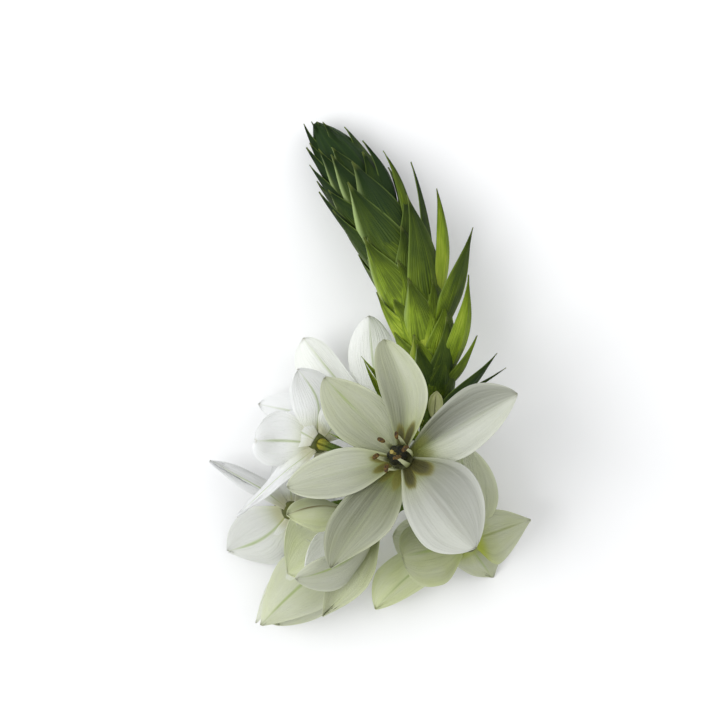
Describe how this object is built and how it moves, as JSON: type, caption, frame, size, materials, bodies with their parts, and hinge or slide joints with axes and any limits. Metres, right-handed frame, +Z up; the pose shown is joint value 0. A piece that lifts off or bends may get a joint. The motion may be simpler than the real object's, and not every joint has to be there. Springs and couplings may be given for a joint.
{
  "type": "ornithogalum flower head",
  "caption": "Cut flower head of a white ornithogalum, with open and closing six-tepal flowers round a pointed spike of green bracts, lying on its back on a flat surface.",
  "frame": {"origin": "middle of the head's footprint, at the height of its lowest points, which is the surface it lies on", "axes": "+Y runs along the flower head from the cut stem to the tip of the bract spike, +Z points up from the surface it lies on, out of the front flower, and +X is to the right as seen from above with the spike at the top"},
  "size_m": [0.0554, 0.0872, 0.0367],
  "materials": {
    "tepal": "soft satin white tepal with a faint green midrib",
    "stem_and_bract": "satin green with fine veins along it",
    "stamen": "dull brown",
    "pistil": "satin blackish green",
    "bud": "satin pale green"
  },
  "bodies": {
    "root": {"flower_stem": "stem_and_bract", "front_flower_tepals": "tepal", "front_flower_stamens": "stamen", "front_flower_pistil": "pistil", "left_flower_tepals": "tepal", "left_flower_stamens": "stamen", "left_flower_pistil": "pistil", "lower_left_flower_tepals": "tepal", "lower_left_flower_stamens": "stamen", "lower_left_flower_pistil": "pistil", "half_open_flower_tepals": "tepal", "half_open_flower_stamens": "stamen", "half_open_flower_pistil": "pistil", "back_flower_tepals": "tepal", "back_flower_stamens": "stamen", "back_flower_pistil": "pistil", "closed_flower_tepals": "tepal", "closed_flower_stamens": "stamen", "closed_flower_pistil": "pistil", "right_flower_tepals": "tepal", "right_flower_stamens": "stamen", "right_flower_pistil": "pistil", "young_bud": "bud"}
  },
  "joints": []
}
